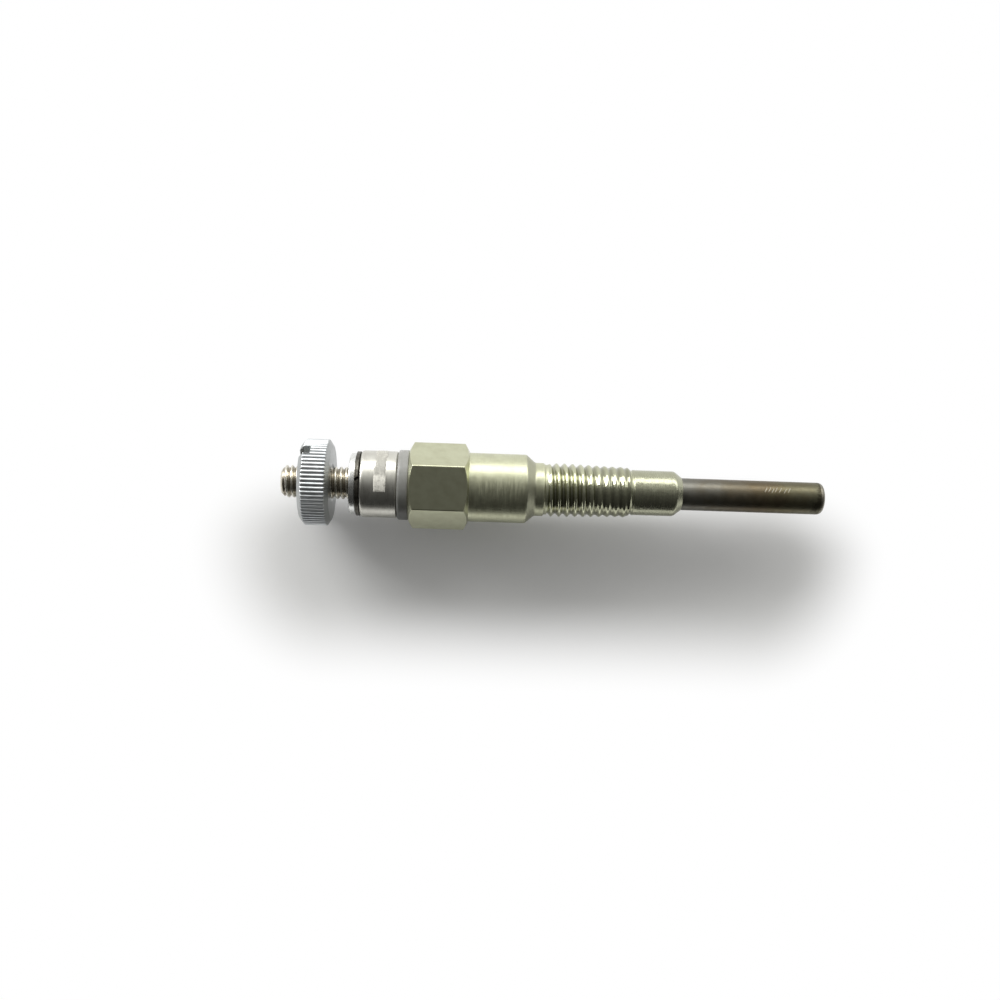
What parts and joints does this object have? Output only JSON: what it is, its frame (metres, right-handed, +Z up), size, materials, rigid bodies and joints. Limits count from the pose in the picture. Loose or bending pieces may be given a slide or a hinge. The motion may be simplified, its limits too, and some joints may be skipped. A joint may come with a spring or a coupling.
{
  "type": "diesel glow plug",
  "caption": "Diesel glow plug: a slim closed heater tube in a threaded steel housing with a spanner hexagon, and an insulated stud terminal with a knurled, slotted nut.",
  "frame": {"origin": "on the plug's axis, where the engine thread starts below the plain neck", "axes": "+X along the plug's axis towards the heater tip, +Z up out of the upper hexagon flat as the plug lies, +Y across it"},
  "size_m": [0.101, 0.0162, 0.016],
  "materials": {
    "white_zinc": "bright zinc plate",
    "black_steel": "oil-blackened spring steel",
    "bright_nickel": "bright nickel plate with a pale paint mark",
    "grey_insulator": "satin moulded phenolic",
    "seal_rubber": "matt",
    "bronzed_steel": "dull bronze-tinted rolled steel",
    "yellow_zinc": "pale yellow-green passivated zinc",
    "heat_tinted_alloy": "heat-tinted, drawn and swaged",
    "packing_rubber": "matt",
    "resistance_wire": "drawn",
    "packed_powder": "chalky"
  },
  "bodies": {
    "plug": {"centre_electrode": "bronzed_steel", "heater_sheath": "heat_tinted_alloy", "heating_coil": "resistance_wire", "housing": "yellow_zinc", "insulating_washer": "grey_insulator", "magnesia_fill": "packed_powder", "plain_washer": "white_zinc", "round_nut": "bright_nickel", "sealing_ring": "seal_rubber", "sheath_packing": "packing_rubber", "spring_washer": "black_steel"},
    "terminal_nut": {"terminal_nut": "white_zinc"}
  },
  "joints": [
    {"name": "nut_travel", "type": "slide", "parent": "plug", "child": "terminal_nut", "axis": [1, 0, 0], "range_m": [-0.00365, 0.00335]}
  ]
}
